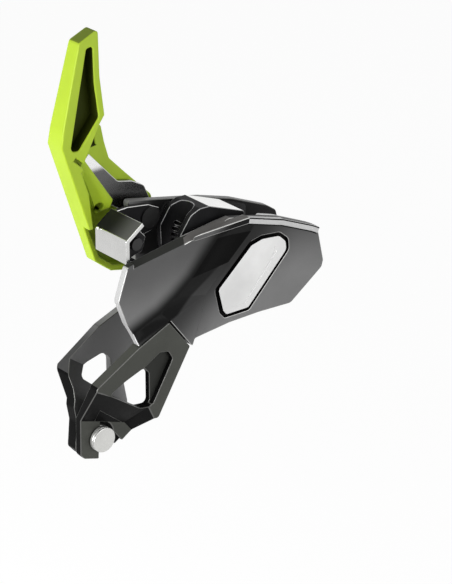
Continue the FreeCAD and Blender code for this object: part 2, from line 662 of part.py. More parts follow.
def make_release():
    """Sheet steel yoke over the inlet, its axle and return spring."""
    near = dim("yoke_front")
    far = dim("yoke_back")
    web = [(11.7, 68.8), (11.7, 78.1, 1.0), (19.4, 83.4), (20.4, 82.0), (13.4, 77.2, 0.6), (13.4, 69.8, 0.6),
           (19.0, 67.6), (18.4, 66.0)]
    yoke = prism(web, near, far)
    yoke = yoke.fuse(prism(web[:6], far - 1, far + 2))
    cheek = [(11.7, 78.1), (19.6, 83.5), (24.0, 83.6), (34.0, 82.0), (39.0, 79.5), (39.6, 74.5),
             (35.0, 71.0), (24.0, 70.0), (18.4, 66.0), (11.7, 68.8)]
    yoke = yoke.fuse(prism(cheek, far - 1.8, far))
    inner_cheek = [(13.4, 70.0), (13.4, 77.2), (18.6, 80.8), (22.0, 77.0), (20.5, 71.5)]
    yoke = yoke.fuse(prism(inner_cheek, near + 1.6, near + 3.2)).removeSplitter()
    yoke = yoke.cut(rod(RELEASE, dim("release_radius"), near, far + 1))
    yoke = yoke.cut(rod(YOKE_POST, 1.5, near, near + 4))
    add_shape("release_yoke", yoke)
    post = rod(YOKE_POST, 1.5, near + 0.9, far - 1.8)
    post = post.fuse(rod(YOKE_POST, 2.4, near + 0.6, near + 1.6)).removeSplitter()
    add_shape("yoke_spring_post", post)
    coil("yoke_return_spring", YOKE_POST, 2.3, 0.35, near + 3.8, 6.0, 1.15)
    bore = dim("release_radius") + dim("running_fit")
    bush("release_axle_bush", RELEASE, RELEASE_BUSH, bore, "back_inner - 0.4", "back_outer + 0.3")
    axle = new_body("release_axle")
    slab(axle, "shank", disc(RELEASE, dim("release_radius")), "back_inner - 3.4", "arm_end + 1")
    slab(axle, "head", disc(RELEASE, 4.2), "back_inner - 3.4", "back_inner - 2.6")
    groove = disc(RELEASE, 3.0) + disc(RELEASE, 2.1)
    cut(axle, "ring_groove", groove, "arm_end + 0.1", "arm_end + 0.65")


GRIP_RIVETS = [(12.0, 97.0), (16.8, 89.0)]
RIB_HOLE = (16.6, 83.4)
RIB_FOLD = [(8.4, 103.4), (20.4, 83.6)]
RIB_SLOPE = 22.0


def grip_edge(height):
    """Point on the straight outer edge of the grip's lower half."""
    return (-2.2 + (112.2 - height) * 16.6 / 50.6, height)


def make_handle():
    near = dim("grip_front")
    far = dim("grip_back")
    arm_face = dim("arm_face")
    arm_end = dim("arm_end")
    upper = [(-2.2, 112.2), (-1.2, 118.6, 20.0), (6.8, 150.6, 2.0), (15.5, 154.2, 1.2), (15.8, 136.0, 30.0),
             (17.7, 120.6, 0.8), (15.4, 117.6), (8.2, 104.6), (6.6, 100.6), grip_edge(100.6)]
    grip = prism(upper, near, far)
    flank = [grip_edge(112.2), (15.4, 117.6), (17.6, 117.0), (21.6, 113.1, 1.0), (22.9, 106.6, 4.0),
             (25.0, 99.5, 3.0), (32.9, 91.3, 20.0), (45.1, 79.2, 3.0), (43.5, 70.0, 4.0), (36.0, 59.5, 4.0),
             (28.9, 53.9), (22.1, 55.5), grip_edge(61.6)]
    grip = grip.fuse(prism(flank, far - 1.5, far))
    # the tip narrows towards the back
    taper = [(far + 0.2, 108), (far - 3.1, 158), (far + 9, 158), (far + 9, 108)]
    grip = grip.cut(across(taper, -20, 40)).removeSplitter()
    wall = [grip_edge(100.6), (6.6, 100.6), (9.8, 91.0), (11.4, 76.8), grip_edge(76.8)]
    grip = grip.fuse(prism(wall, near, far))
    skirt = [grip_edge(76.8), (11.4, 76.8), (16.6, 62.9), (23.0, 57.9), (28.9, 56.4), (28.9, 53.9),
             (22.1, 55.5), grip_edge(61.6)]
    grip = grip.fuse(prism(skirt, dim("skirt_face"), far))
    rib_face = dim("rib_face")
    rib = [(6.0, 101.6), (9.4, 104.4), (22.2, 85.2), (20.6, 81.9), (15.4, 80.6, 1.0), (13.8, 84.6, 1.0),
           (9.6, 95.8)]
    (start_x, start_z), (end_x, end_z) = RIB_FOLD
    along = Vector(end_x - start_x, 0, end_z - start_z)
    slope = in_front_of(Vector(start_x, rib_face, start_z), along, RIB_SLOPE)
    grip = grip.fuse(prism(rib, rib_face, arm_face).cut(slope))
    root = [(5.0, 101.0), (9.2, 105.2), (11.8, 100.6), (8.0, 97.0)]
    grip = grip.fuse(prism(root, 14.2, far - 0.8))
    pocket = [(10.0, 147.7, 0.9), (12.9, 148.3, 1.1), (13.2, 134.0, 30.0), (15.0, 120.4, 2.0),
              (5.6, 109.4, 2.0), (1.8, 109.9, 1.8)]
    grip = grip.cut(prism(pocket, near - 1, near + 5.2))
    notch = [(18.3, 109.9), (18.7, 106.6), (16.6, 106.4)]
    grip = grip.cut(prism(notch, far - 2, far - 0.6))
    slot = [(3.2, 106.0), (4.2, 107.0), (8.2, 103.4), (7.2, 102.4)]
    grip = grip.cut(prism(slot, near - 1, near + 1.2))
    # room for the steel arm, its rivets and the end of the axle
    for centre in GRIP_RIVETS:
        grip = grip.fuse(rod(centre, 2.8, arm_end, far - 1.0))
    grip = grip.cut(prism(arm_outline(dim("running_fit")), arm_face, arm_end))
    grip = grip.cut(rod(RELEASE, RELEASE_BUSH, near, far + 1))
    # the rivets enter from the back and stop inside the rib
    radius = dim("grip_rivet_radius")
    rivet_front = rib_face + 1.6
    rivets = [rod(centre, radius, rivet_front, far) for centre in GRIP_RIVETS]
    for rivet in rivets:
        grip = grip.cut(rivet)
    grip = grip.cut(rod(RIB_HOLE, dim("rivet_radius"), near, arm_face + 0.2))
    add_shape("handle_grip", grip)
    arm = prism(arm_outline(0.0), arm_face, arm_end)
    arm = arm.cut(rod(RELEASE, RELEASE_BUSH, near, far))
    for rivet in rivets:
        arm = arm.cut(rivet)
    add_shape("lever_arm", arm)
    add_shape("grip_rivets", Part.makeCompound(rivets))
    bore = dim("release_radius") + dim("running_fit")
    bush("lever_bush", RELEASE, RELEASE_BUSH, bore, "arm_face - 0.4", "arm_end")
    ring = new_body("handle_retaining_ring")
    slab(ring, "ring", disc(RELEASE, 3.3) + disc(RELEASE, 2.1), "arm_end + 0.15", "arm_end + 0.6")
    cut(ring, "gap", edges_of(ring_gap(RELEASE, 0.9)), "arm_end", "arm_end + 2")


def arm_outline(grow):
    """Steel arm from the grip's root, under the rib, to the eye on the release axle."""
    return [(7.4 - grow, 99.0), (13.4, 105.0 + grow), (26.5 + grow, 90.7, 2.0), (33.2, 89.0 + grow, 4.0),
            (39.0 + grow, 85.8, 3.0), (41.6 + grow, 79.5, 3.0), (40.0 + grow, 72.5, 3.0),
            (34.5, 69.8 - grow, 3.0), (29.0 - grow, 72.0, 3.0), (27.6 - grow, 79.0, 2.0),
            (18.5, 84.8 - grow), (12.6 - grow, 87.6 - grow)]


make_back_plate()
make_loop_leg()
make_rope_side_plate()
make_rope_gate_parts()
make_plate_pivot()
make_lock()
make_brake_nose()
make_anvil()
make_rivets("nose_rivets", NOSE_RIVETS)
make_rivets("anvil_rivets", ANVIL_RIVETS)
make_cam()
make_wear_plate()
make_release()
make_handle()
document.recompute()

for item in document.Objects:
    if "Invalid" in item.State or "Error" in item.State:
        raise ValueError("failed feature: " + item.Label)
os.makedirs("parts", exist_ok=True)
for node in nodes:
    shape = node.Shape
    if shape.isNull() or not shape.isValid():
        raise ValueError("bad shape: " + node.Label)
    box = shape.BoundBox
    print("%-24s %d solid, %8.1f mm3, X %.1f..%.1f Y %.1f..%.1f Z %.1f..%.1f" % (
        node.Label, len(shape.Solids), shape.Volume, box.XMin, box.XMax, box.YMin, box.YMax, box.ZMin,
        box.ZMax))
    shape.exportStep("parts/%s.step" % node.Label)
print(len(nodes), "nodes")
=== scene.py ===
from math import cos, radians, sin

import bmesh
import bpy
from bpy.props import FloatProperty, FloatVectorProperty, PointerProperty
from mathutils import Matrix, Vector


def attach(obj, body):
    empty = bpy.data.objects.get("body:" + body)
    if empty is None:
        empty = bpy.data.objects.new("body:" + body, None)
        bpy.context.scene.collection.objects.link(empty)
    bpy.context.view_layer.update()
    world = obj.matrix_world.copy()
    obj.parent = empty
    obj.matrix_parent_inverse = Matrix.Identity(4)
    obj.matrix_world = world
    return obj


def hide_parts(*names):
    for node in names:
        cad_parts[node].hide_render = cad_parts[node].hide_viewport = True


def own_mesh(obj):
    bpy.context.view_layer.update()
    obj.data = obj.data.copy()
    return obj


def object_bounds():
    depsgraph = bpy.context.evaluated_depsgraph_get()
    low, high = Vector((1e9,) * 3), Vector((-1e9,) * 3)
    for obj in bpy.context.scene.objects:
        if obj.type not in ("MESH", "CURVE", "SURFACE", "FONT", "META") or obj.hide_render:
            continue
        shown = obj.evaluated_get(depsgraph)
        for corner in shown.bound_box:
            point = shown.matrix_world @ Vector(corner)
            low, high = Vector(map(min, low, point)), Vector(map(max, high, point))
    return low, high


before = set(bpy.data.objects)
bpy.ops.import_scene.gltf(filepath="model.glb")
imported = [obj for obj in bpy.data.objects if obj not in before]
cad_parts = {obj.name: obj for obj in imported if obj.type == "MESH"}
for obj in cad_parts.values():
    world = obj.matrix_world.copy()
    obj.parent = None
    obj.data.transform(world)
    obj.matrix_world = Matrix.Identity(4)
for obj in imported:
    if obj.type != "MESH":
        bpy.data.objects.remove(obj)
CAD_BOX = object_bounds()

bl_info = {
    "name": "Belay device looks",
    "version": (1, 0, 0),
    "blender": (4, 5, 0),
    "location": "3D View > Sidebar > Belay",
    "description": "Finishes and trim for an assisted braking belay device",
    "category": "Object",
}

MM = 0.001

# Share of the handle's colour kept by the painted shade on its tip and in its hollows
SHADE = 0.42


# Sizes and colours that a user would change

class BelaySizes(bpy.types.PropertyGroup):
    """Sizes of the edges and of the trim"""
    plate_edge: FloatProperty(name="Plate edge", description="Width of the rounded edge on the plates",
                              default=0.28 * MM, unit="LENGTH")
    grip_edge: FloatProperty(name="Grip edge", description="Width of the rounded edge on the handle",
                             default=0.5 * MM, unit="LENGTH")
    steel_edge: FloatProperty(name="Steel edge", description="Width of the broken edge on the steel pieces",
                              default=0.22 * MM, unit="LENGTH")
    insert_edge: FloatProperty(name="Insert edge", description="Width of the rounded edge on the insert",
                               default=0.1 * MM, unit="LENGTH")
    # Painted shade: height of the dark line in the groove along the top of the rail
    rail_shade_line: FloatProperty(name="Rail line", description="Height of the dark line along the rail",
                             default=0.5 * MM, unit="LENGTH")
    rivet_dome: FloatProperty(name="Rivet dome", description="Height of the rivets' domed ends",
                              default=0.3 * MM, unit="LENGTH")


class BelayColours(bpy.types.PropertyGroup):
    """Colours of the finishes"""
    grip: FloatVectorProperty(name="Grip", description="Nylon of the handle", subtype="COLOR", size=3,
                              default=(0.43, 0.60, 0.028))
    # Painted shade on the floor of the handle's pocket and in its notch
    grip_pocket_shade: FloatVectorProperty(name="Grip pocket", description="Floor of the handle's pocket",
                                     subtype="COLOR", size=3, default=(0.03, 0.04, 0.003))
    plate: FloatVectorProperty(name="Plate", description="Anodised side plate", subtype="COLOR", size=3,
                               default=(0.25, 0.25, 0.25))
    leg: FloatVectorProperty(name="Leg", description="Anodised legs and back plate", subtype="COLOR",
                             size=3, default=(0.07, 0.072, 0.064))
    rail: FloatVectorProperty(name="Rail", description="Satin rail along the top edge", subtype="COLOR",
                              size=3, default=(0.54, 0.54, 0.54))
    # Painted shade and painted dark reflection: the band, the insert's seat, the sweep, the dark sides and
    # the lines along the rail
    shade_and_reflection_black: FloatVectorProperty(name="Black", description="Gloss black surfaces", subtype="COLOR", size=3,
                               default=(0.004, 0.004, 0.004))
    insert: FloatVectorProperty(name="Insert", description="Clear anodised insert", subtype="COLOR", size=3,
                                default=(0.8, 0.8, 0.795))
    steel: FloatVectorProperty(name="Steel", description="Polished steel", subtype="COLOR", size=3,
                               default=(0.62, 0.62, 0.61))
    backdrop: FloatVectorProperty(name="Backdrop", description="Floor and background", subtype="COLOR",
                                  size=3, default=(1.0, 1.0, 1.0))


# Front of the rope side plate, in millimetres: both sides of its band of painted dark reflection, and its
# top edge

BAND_LEFT = [(58.5, 75.9), (52.2, 69.3), (39.7, 56.5), (32.0, 51.0), (24.3, 46.7), (11.3, 42.0)]
BAND_RIGHT = [(72.0, 73.6), (66.0, 69.6), (54.7, 59.9), (43.8, 49.8), (26.5, 44.1), (11.6, 38.1)]
TOP_RIGHT = [(64.0, 76.2), (80.8, 70.9), (95.5, 64.4), (99.2, 62.4)]

# How the painted dark reflection ends, in millimetres: on its right a crisp edge takes a share of the
# change
BAND_MARGIN = 0.2
BAND_FADE_LEFT = 7.0
BAND_FADE_RIGHT = 24.0
BAND_EDGE = 0.9
BAND_EDGE_SHARE = 0.16

# The plate has its own colour below one height, in millimetres, and a share of it above the other: painted
# shade towards its top edge, below the rail
PLATE_LIGHT_BELOW = 42.0
PLATE_DARK_ABOVE = 68.0
PLATE_DARK_SHARE = 0.48


# Materials

# Noise scales of the finishes, per metre
BLASTED_SKIN = 5200
BLASTED_SHEEN = 900
BLASTED_CLOUD = 55
STEEL_SCRATCHES = 2600
STEEL_CLOUD = 120
GLOSS_SKIN = 4200
GLOSS_SHEEN = 1400
GLOSS_CLOUD = 90
NYLON_SKIN = 3600
NYLON_SHEEN = 1800
NYLON_CLOUD = 70

# Depths of their bumps
BLASTED_DEPTH = 0.02 * MM
POLISHED_DEPTH = 0.01 * MM
NYLON_DEPTH = 0.03 * MM


def new_material(name):
    """An empty node material with one shader, its nodes and its links."""
    item = bpy.data.materials.new(name)
    item.use_nodes = True
    nodes = item.node_tree.nodes
    nodes.clear()
    output = nodes.new("ShaderNodeOutputMaterial")
    shader = nodes.new("ShaderNodeBsdfPrincipled")
    item.node_tree.links.new(shader.outputs["BSDF"], output.inputs["Surface"])
    return item, shader


def node(item, kind, **settings):
    """A new node with its settings."""
    made = item.node_tree.nodes.new(kind)
    for key, value in settings.items():
        setattr(made, key, value)
    return made


def link(item, source, target):
    item.node_tree.links.new(source, target)


def grain(item, scale, detail=3.0, stretch=(1.0, 1.0, 1.0)):
    """Noise on Object coordinates, stretched along an axis for brushed metal."""
    coordinates = node(item, "ShaderNodeTexCoord")
    mapping = node(item, "ShaderNodeMapping")
    mapping.inputs["Scale"].default_value = stretch
    noise = node(item, "ShaderNodeTexNoise")
    noise.inputs["Scale"].default_value = scale
    noise.inputs["Detail"].default_value = detail
    link(item, coordinates.outputs["Object"], mapping.inputs["Vector"])
    link(item, mapping.outputs["Vector"], noise.inputs["Vector"])
    return noise.outputs["Fac"]


def remap(item, value, low, high, spread=(0.3, 0.7)):
    """Noise between two values."""
    ranged = node(item, "ShaderNodeMapRange")
    ranged.inputs["From Min"].default_value = spread[0]
    ranged.inputs["From Max"].default_value = spread[1]
    ranged.inputs["To Min"].default_value = low
    ranged.inputs["To Max"].default_value = high
    link(item, value, ranged.inputs["Value"])
    return ranged.outputs["Result"]


def vary_colour(item, shader, colour, amount, value):
    """Base colour that a noise makes a little darker and lighter."""
    mix = node(item, "ShaderNodeMix", data_type="RGBA")
    mix.inputs["A"].default_value = (*[c * (1 - amount) for c in colour], 1)
    mix.inputs["B"].default_value = (*[min(1, c * (1 + amount)) for c in colour], 1)
    link(item, remap(item, value, 0, 1), mix.inputs["Factor"])
    link(item, mix.outputs["Result"], shader.inputs["Base Color"])


def vary_roughness(item, shader, value, roughness, less, more):
    """Roughness that a noise makes a little lower and higher."""
    link(item, remap(item, value, roughness - less, roughness + more), shader.inputs["Roughness"])


def add_bump(item, shader, value, depth, strength):
    bump = node(item, "ShaderNodeBump")
    bump.inputs["Strength"].default_value = strength
    bump.inputs["Distance"].default_value = depth
    link(item, value, bump.inputs["Height"])
    link(item, bump.outputs["Normal"], shader.inputs["Normal"])


def anodised(name, colour, metallic=0.3, roughness=0.45):
    """Bead blasted and anodised aluminium: a fine even grain and a faint cloud of tone."""
    item, shader = new_material(name)
    shader.inputs["Metallic"].default_value = metallic
    shader.inputs["Specular IOR Level"].default_value = 0.12
    vary_colour(item, shader, colour, 0.10, grain(item, BLASTED_CLOUD, 4))
    vary_roughness(item, shader, grain(item, BLASTED_SHEEN, 5), roughness, 0.04, 0.06)
    add_bump(item, shader, grain(item, BLASTED_SKIN, 2), BLASTED_DEPTH, 0.35)
    return item


def beyond(item, points, sign):
    """Distance in metres on one side of a bent line that bulges away from that side."""
    coordinates = node(item, "ShaderNodeTexCoord")
    nearest = None
    for (ax, az), (bx, bz) in zip(points, points[1:]):
        normal = Vector((az - bz, 0, bx - ax)).normalized() * sign
        along = node(item, "ShaderNodeVectorMath", operation="DOT_PRODUCT")
        along.inputs[1].default_value = normal
        link(item, coordinates.outputs["Object"], along.inputs[0])
        apart = node(item, "ShaderNodeMath", operation="SUBTRACT")
        apart.inputs[1].default_value = (normal.x * ax + normal.z * az) * MM
        link(item, along.outputs["Value"], apart.inputs[0])
        if nearest is None:
            nearest = apart.outputs[0]
            continue
        chosen = node(item, "ShaderNodeMath", operation="MINIMUM" if sign > 0 else "MAXIMUM")
        link(item, nearest, chosen.inputs[0])
        link(item, apart.outputs[0], chosen.inputs[1])
        nearest = chosen.outputs[0]
    return nearest


def soft_step(item, value, start, end):
    """0 before start and 1 beyond end, in metres, with a smooth change between."""
    ranged = node(item, "ShaderNodeMapRange", interpolation_type="SMOOTHSTEP")
    ranged.inputs["From Min"].default_value = start
    ranged.inputs["From Max"].default_value = end
    link(item, value, ranged.inputs["Value"])
    return ranged.outputs["Result"]


def mixed(item, first, second, share):
    """Sum of two values, of which the first has the given share."""
    scaled = node(item, "ShaderNodeMath", operation="MULTIPLY")
    scaled.inputs[1].default_value = share
    link(item, first, scaled.inputs[0])
    total = node(item, "ShaderNodeMath", operation="MULTIPLY_ADD")
    total.inputs[1].default_value = 1 - share
    link(item, second, total.inputs[0])
    link(item, scaled.outputs[0], total.inputs[2])
    return total.outputs[0]


def banded(name, colour, shade_and_reflection_black, metallic=0.1, roughness=0.45):
    """Anodised plate with a painted dark reflection along the band and painted shade towards its top edge.
    """
    item, shader = new_material(name)
    shader.inputs["Metallic"].default_value = metallic
    shader.inputs["Specular IOR Level"].default_value = 0.1
    left = soft_step(item, beyond(item, BAND_LEFT[::-1], 1), BAND_MARGIN * MM, BAND_FADE_LEFT * MM)
    past = beyond(item, BAND_RIGHT[::-1], -1)
    crisp = soft_step(item, past, -BAND_MARGIN * MM, BAND_EDGE * MM)
    slow = soft_step(item, past, BAND_EDGE * MM, BAND_FADE_RIGHT * MM)
    right = mixed(item, crisp, slow, BAND_EDGE_SHARE)
    clear = node(item, "ShaderNodeMath", operation="MAXIMUM")
    link(item, left, clear.inputs[0])
    link(item, right, clear.inputs[1])
    height = node(item, "ShaderNodeSeparateXYZ")
    link(item, node(item, "ShaderNodeTexCoord").outputs["Object"], height.inputs[0])
    lower = soft_step(item, height.outputs["Z"], PLATE_DARK_ABOVE * MM, PLATE_LIGHT_BELOW * MM)
    tone = node(item, "ShaderNodeMix", data_type="RGBA")
    tone.inputs["A"].default_value = (*[c * PLATE_DARK_SHARE for c in colour], 1)
    tone.inputs["B"].default_value = (*colour, 1)
    link(item, lower, tone.inputs["Factor"])
    cloud = node(item, "ShaderNodeMix", data_type="RGBA", blend_type="MULTIPLY")
    cloud.inputs["B"].default_value = (0.85, 0.85, 0.85, 1)
    link(item, remap(item, grain(item, BLASTED_CLOUD, 4), 0, 1), cloud.inputs["Factor"])
    link(item, tone.outputs["Result"], cloud.inputs["A"])
    mix = node(item, "ShaderNodeMix", data_type="RGBA")
    mix.inputs["A"].default_value = (*shade_and_reflection_black, 1)
    link(item, clear.outputs[0], mix.inputs["Factor"])
    link(item, cloud.outputs["Result"], mix.inputs["B"])
    link(item, mix.outputs["Result"], shader.inputs["Base Color"])
    vary_roughness(item, shader, grain(item, BLASTED_SHEEN, 5), roughness, 0.04, 0.06)
    add_bump(item, shader, grain(item, BLASTED_SKIN, 2), BLASTED_DEPTH, 0.35)
    return item


def polished(name, colour, roughness=0.2, stretch=(1.0, 1.0, 1.0)):
    """Tumbled and polished steel with fine scratches."""
    item, shader = new_material(name)
    shader.inputs["Metallic"].default_value = 1.0
    scratches = grain(item, STEEL_SCRATCHES, 6, stretch)
    vary_colour(item, shader, colour, 0.06, grain(item, STEEL_CLOUD, 3))
    vary_roughness(item, shader, scratches, roughness, 0.05, 0.09)
    add_bump(item, shader, scratches, POLISHED_DEPTH, 0.25)
    return item


def painted_shade_gloss(name, colour, roughness=0.38):
    """Dark gloss finish that paints shade: in recesses and on steel faces that are in shade."""
    item, shader = new_material(name)
    shader.inputs["Specular IOR Level"].default_value = 0.03
    vary_colour(item, shader, colour, 0.25, grain(item, GLOSS_CLOUD, 3))
    vary_roughness(item, shader, grain(item, GLOSS_SHEEN, 4), roughness, 0.03, 0.07)
    add_bump(item, shader, grain(item, GLOSS_SKIN, 2), POLISHED_DEPTH, 0.2)
    return item


def shaded(name, dark, light, axis, start, end, metallic=1.0, roughness=0.26):
    """Metal with painted light and shade: its tone changes smoothly along one axis, from start to end in
    millimetres.
    """
    item, shader = new_material(name)
    shader.inputs["Metallic"].default_value = metallic
    shader.inputs["Specular IOR Level"].default_value = 0.12
    parts = node(item, "ShaderNodeSeparateXYZ")
    link(item, node(item, "ShaderNodeTexCoord").outputs["Object"], parts.inputs[0])
    tone = node(item, "ShaderNodeMix", data_type="RGBA")
    tone.inputs["A"].default_value = (dark, dark, dark, 1)
    tone.inputs["B"].default_value = (light, light, light, 1)
    link(item, soft_step(item, parts.outputs[axis], start * MM, end * MM), tone.inputs["Factor"])
    link(item, tone.outputs["Result"], shader.inputs["Base Color"])
    scratches = grain(item, STEEL_SCRATCHES, 6)
    vary_roughness(item, shader, scratches, roughness, 0.05, 0.09)
    add_bump(item, shader, scratches, POLISHED_DEPTH, 0.25)
    return item


def nylon(name, colour, roughness=0.42, specular=0.35):
    """Moulded nylon: spark eroded skin, a soft sheen and slight flow marks."""
    item, shader = new_material(name)
    shader.inputs["Specular IOR Level"].default_value = specular
    shader.inputs["Subsurface Weight"].default_value = 0.06
    shader.inputs["Subsurface Radius"].default_value = (0.5, 0.6, 0.1)
    shader.inputs["Subsurface Scale"].default_value = 0.8 * MM
    vary_colour(item, shader, colour, 0.05, grain(item, NYLON_CLOUD, 3, (1.0, 1.0, 0.4)))
    vary_roughness(item, shader, grain(item, NYLON_SHEEN, 4), roughness, 0.05, 0.08)
    add_bump(item, shader, grain(item, NYLON_SKIN, 3), NYLON_DEPTH, 0.15)
    return item


def finishes():
    """Every finish of the device, made once."""
    colours = bpy.context.scene.belay_colours
    return {
        # Painted dark reflection along the band and painted shade towards the top edge
        "satin_plate": banded("satin_plate", tuple(colours.plate), tuple(colours.shade_and_reflection_black)),
        "satin_rail": anodised("satin_rail", tuple(colours.rail), metallic=0.5, roughness=0.4),
        # Painted shade on the rail's top at its left end
        "rail_shade": anodised("rail_shade", (0.13, 0.125, 0.12)),
        # Lighter polished metal on the plate's rounded edges: edge wear and painted highlight
        "wear_and_highlight_plate": polished("wear_and_highlight_plate", (0.42, 0.42, 0.41), 0.34),
        "dark_plate": anodised("dark_plate", tuple(colours.leg)),
        # Lighter polished metal on the dark parts' rounded edges: edge wear and painted highlight
        "wear_and_highlight_dark": polished("wear_and_highlight_dark", (0.13, 0.13, 0.125), 0.36),
        # Painted shade in recesses, on dark sides and in the lines along the rail
        "shade_and_reflection_black": painted_shade_gloss("shade_and_reflection_black", tuple(colours.shade_and_reflection_black)),
        "insert": anodised("insert", tuple(colours.insert), metallic=0.35, roughness=0.4),
        "steel": polished("steel", tuple(colours.steel)),
        # Painted shade on the yoke's top, darker towards the back
        "yoke_top_painted_shade": shaded("yoke_top_painted_shade", 0.015, 0.13, "Y", 6.0, -8.0, metallic=0.2, roughness=0.35),
        # Painted highlight on the back plate, lighter from 2 to 22 mm along X
        "back_painted_highlight": shaded("back_painted_highlight", 0.065, 0.25, "X", 2.0, 22.0, metallic=0.3, roughness=0.45),
        # Painted highlight along the top of the steel arm, dark below
        "arm_painted_highlight": shaded("arm_painted_highlight", 0.12, 0.8, "Z", 96.5, 99.5),
        # Painted shade on the cam's rounded edges
        "steel_shade": polished("steel_shade", (0.3, 0.3, 0.3), 0.28),
        # Painted shade of dark steel on the cam's flanks and the yoke's inner faces
        "steel_painted_shade": painted_shade_gloss("steel_painted_shade", (0.022, 0.022, 0.023), 0.3),
        "pin_steel": anodised("pin_steel", (0.6, 0.6, 0.58), metallic=0.7, roughness=0.36),
        # Painted highlight on a face above the hook
        "facet": anodised("facet", (0.27, 0.27, 0.255)),
        # Painted shade in the leg's sunk pocket and on the inlet's edge
        "sunk_plate_shade": anodised("sunk_plate_shade", (0.03, 0.031, 0.028)),
        # Painted shade on the back plate's inner face, darker inside the body
        "inner_painted_shade": shaded("inner_painted_shade", 0.012, 0.19, "X", 40.0, 24.0, metallic=0.3, roughness=0.45),
        # Painted shade on the top of the handle's tip and in its slot
        "lime_shade": nylon("lime_shade", tuple([c * SHADE for c in colours.grip]), 0.5, 0.2),
        "inner_steel": anodised("inner_steel", (0.045, 0.045, 0.045), metallic=0.6, roughness=0.35),
        # Painted highlight on the cam's top face
        "steel_painted_highlight": polished("steel_painted_highlight", (0.86, 0.86, 0.85), 0.3),
        "liner_steel": polished("liner_steel", (0.45, 0.45, 0.45), 0.3, stretch=(1.0, 0.05, 1.0)),
        "spring_steel": polished("spring_steel", (0.4, 0.4, 0.42), 0.25),
        "bearing": polished("bearing", (0.52, 0.38, 0.18), 0.35),
        "lime": nylon("lime", tuple(colours.grip)),
        # Painted shade on the floor of the handle's pocket and in its notch
        "lime_pocket_shade": nylon("lime_pocket_shade", tuple(colours.grip_pocket_shade), 0.5, 0.08),
    }


# Mesh helpers

# Faces that meet at less than the first angle are one flat face, outer edges over the second are
# rounded, and edges over the third are sharp in the light
FLAT_ANGLE = radians(1.5)
EDGE_ANGLE = radians(32)
SHARP_ANGLE = radians(38)


def merged_copy(node_name, weld, narrow):
    """The CAD node's mesh with shared corners, whole flat faces and a weight on each outer edge.

    An edge where narrow says that the face beside it has no room gets no weight and stays sharp.
    """
    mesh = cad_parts[node_name].data.copy()
    work = bmesh.new()
    work.from_mesh(mesh)
    bmesh.ops.remove_doubles(work, verts=work.verts, dist=weld)
    bmesh.ops.dissolve_limit(work, angle_limit=FLAT_ANGLE, verts=work.verts, edges=work.edges)
    weight = work.edges.layers.float.new("bevel_weight_edge")
    for edge in work.edges:
        middle = (edge.verts[0].co + edge.verts[1].co) / 2 / MM
        outer = len(edge.link_faces) == 2 and edge.is_convex and edge.calc_face_angle(0.0) > EDGE_ANGLE
        if outer and not narrow(middle):
            edge[weight] = 1.0
    work.to_mesh(mesh)
    work.free()
    return mesh


def with_modifiers_applied(piece):
    """The piece with what its modifiers make, as a plain mesh."""
    graph = bpy.context.evaluated_depsgraph_get()
    graph.update()
    mesh = bpy.data.meshes.new_from_object(piece.evaluated_get(graph))
    piece.modifiers.clear()
    old = piece.data
    piece.data = mesh
    bpy.data.meshes.remove(old)
    return piece


def link_object(name, mesh):
    piece = bpy.data.objects.new(name, mesh)
    bpy.context.scene.collection.objects.link(piece)
    return piece


def nowhere(middle):
    """Every face has room for a rounded edge."""
    return False


def dressed(node_name, piece_name, edge, materials, steps=2, weld=0.03 * MM, narrow=nowhere):
    """A copy of a CAD node with rounded edges, ready for its faces to be given finishes."""
    piece = link_object(piece_name, merged_copy(node_name, weld, narrow))
    piece.data.materials.clear()
    for item in materials:
        piece.data.materials.append(item)
    for face in piece.data.polygons:
        face.material_index = 0
    bevel = piece.modifiers.new("edge", "BEVEL")
    bevel.width = edge
    bevel.segments = steps
    bevel.limit_method = "WEIGHT"
    bevel.use_clamp_overlap = False
    bevel.harden_normals = False
    bevel.material = 1
    bevel.miter_outer = "MITER_ARC"
    with_modifiers_applied(piece)
    piece.data.shade_smooth()
    piece.data.set_sharp_from_angle(angle=SHARP_ANGLE)
    # large flat faces keep their own normals, so that only the rounded edges turn the light
    normals = piece.modifiers.new("normals", "WEIGHTED_NORMAL")
    normals.keep_sharp = True
    return with_modifiers_applied(piece)


def place(piece, body, slot, *replaced):
    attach(piece, body)
    if replaced:
        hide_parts(*replaced)
    return piece


def inside(point, outline):
    """Whether an (x, z) point lies in a closed outline."""
    hit = False
    for i, (ax, az) in enumerate(outline):
        bx, bz = outline[i - 1]
        if (az > point[1]) != (bz > point[1]) and point[0] < (bx - ax) * (point[1] - az) / (bz - az) + ax:
            hit = not hit
    return hit


def paint(piece, rule):
    """Give each face the slot that the rule names for its middle, in millimetres, and its normal."""
    for face in piece.data.polygons:
        middle = face.center / MM
        chosen = rule(middle, face.normal, face.material_index)
        if chosen is not None:
            face.material_index = chosen


# Which finish each face gets. A rule looks at a face's middle, in millimetres, at its normal and at
# its slot, which is 0 on a face and 1 on a rounded edge. It names another slot of the piece, or None.

# Levels along Y, from the front
RAIL_FACE = -15.6
PLATE_FACE = -14.0
SEAT_FLOOR = -12.2
SUNK_FACE = -12.0
YOKE_NEAR = -6.5
HOOK_FACE = -4.0
BACK_INNER = 10.4
GRIP_FACE = 12.0
POCKET_FLOOR = 17.2
GRIP_BACK = 21.0

# Places along X and Z
LEFT_END = 14.0
INLET_END = 36.0
INLET_LEVEL = 66.0
RAIL_SHADE_END = 58.0
RAIL_SHADE_LEVEL = 70.0
RIGHT_END = 94.0
RIGHT_END_LEVEL = 61.9
FACET_START = 50.0
TIP_HEIGHT = 148.0

# Direction of the front leg in X and Z, and places along it
LEG_X = 0.592
LEG_Z = 0.806
HOOK_END = 9.0
FACET_END = 9.5
POCKET_END = 19.0
SWEEP_END = 22.0

